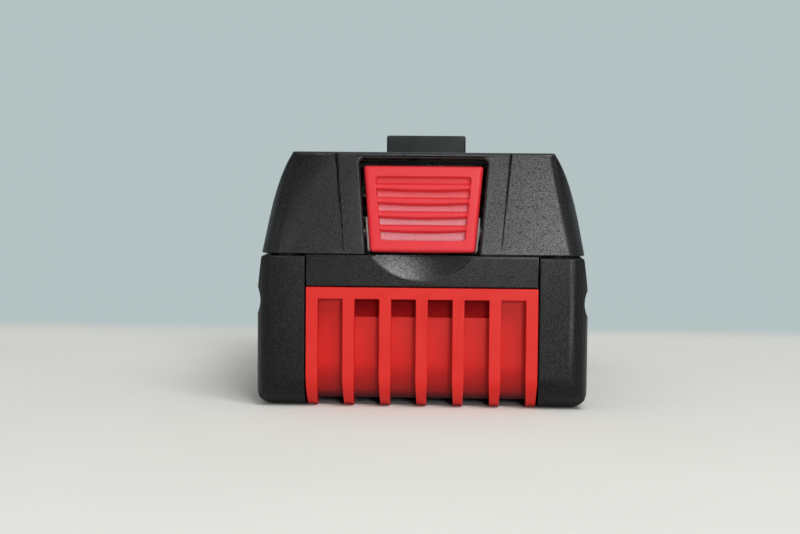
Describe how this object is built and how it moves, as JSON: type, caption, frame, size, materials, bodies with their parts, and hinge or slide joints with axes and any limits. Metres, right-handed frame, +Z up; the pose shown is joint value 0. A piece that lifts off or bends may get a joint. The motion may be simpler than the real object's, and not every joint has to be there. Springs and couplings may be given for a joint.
{
  "type": "power tool battery pack",
  "caption": "Slide-on battery pack: black housing with top rails and contact slots, red ribbed end inserts, side bumpers and a red release button that rocks a sprung latch.",
  "frame": {"origin": "middle of the footprint, on the surface that the pack stands on", "axes": "+Z up, -Y out of the front end with the release button, +X to the right seen from that end"},
  "size_m": [0.0832, 0.126, 0.0687],
  "materials": {
    "black_nylon": "fine spark-eroded grain",
    "bumper_black": "fine grain, slightly softer black",
    "insert_red": "smooth satin moulding",
    "button_red": "fine grain on the grip bands, smooth ridges",
    "lever_acetal": "unpainted light grey acetal",
    "hook_black": "satin moulding",
    "steel": "plated",
    "seal_rubber": "soft matt",
    "lens_plastic": "translucent light guide",
    "key_rubber": "soft matt",
    "board_laminate": "green solder mask",
    "light_resin": "cast resin",
    "chip_epoxy": "moulded epoxy",
    "cell_sleeve": "shrink sleeve over the can",
    "holder_plastic": "moulded",
    "nickel": "nickel strip",
    "insulating_paper": "pressed board",
    "silicone_pad": "filled silicone",
    "capacitor_can": "sleeved can",
    "block_plastic": "moulded",
    "contact_bronze": "spring bronze"
  },
  "bodies": {
    "housing": {"top_housing": "black_nylon", "lower_housing": "black_nylon", "front_insert": "insert_red", "rear_insert": "insert_red", "left_side_cover": "bumper_black", "right_side_cover": "bumper_black", "housing_gasket": "seal_rubber", "housing_screws": "steel", "latch_pin": "steel", "latch_spring": "steel", "gauge_lens": "lens_plastic", "gauge_board": "board_laminate", "gauge_lights": "light_resin", "gauge_switch": "chip_epoxy", "cell_1": "cell_sleeve", "cell_2": "cell_sleeve", "cell_3": "cell_sleeve", "cell_4": "cell_sleeve", "cell_5": "cell_sleeve", "cell_6": "cell_sleeve", "cell_7": "cell_sleeve", "cell_8": "cell_sleeve", "cell_9": "cell_sleeve", "cell_10": "cell_sleeve", "left_cell_holder": "holder_plastic", "right_cell_holder": "holder_plastic", "busbar_1": "nickel", "busbar_2": "nickel", "busbar_3": "nickel", "busbar_4": "nickel", "busbar_5": "nickel", "busbar_6": "nickel", "left_insulator": "insulating_paper", "right_insulator": "insulating_paper", "top_insulator": "insulating_paper", "front_thermal_pad": "silicone_pad", "rear_thermal_pad": "silicone_pad", "thermistor": "chip_epoxy", "circuit_board": "board_laminate", "board_screws": "steel", "power_transistors": "chip_epoxy", "controller_chip": "chip_epoxy", "capacitors": "capacitor_can", "terminal_block": "block_plastic", "contact_1": "contact_bronze", "contact_2": "contact_bronze", "contact_3": "contact_bronze", "contact_4": "contact_bronze", "contact_5": "contact_bronze"},
    "latch": {"release_button": "button_red", "latch_lever": "lever_acetal", "latch_hook": "hook_black"},
    "gauge_key": {"gauge_button": "key_rubber"}
  },
  "joints": [
    {"name": "latch_pivot", "type": "hinge", "parent": "housing", "child": "latch", "pos_m": [0, -0.0564, 0.0439], "axis": [-1, 0, 0], "range_deg": [0, 13], "stiffness_Nm_per_rad": 0.25, "springref_deg": -17.19, "deforming": ["latch_spring"]},
    {"name": "gauge_press", "type": "slide", "parent": "housing", "child": "gauge_key", "axis": [0, -1, 0], "range_m": [0, 0.0008], "stiffness_N_per_m": 1500, "springref_m": -0.0005}
  ]
}
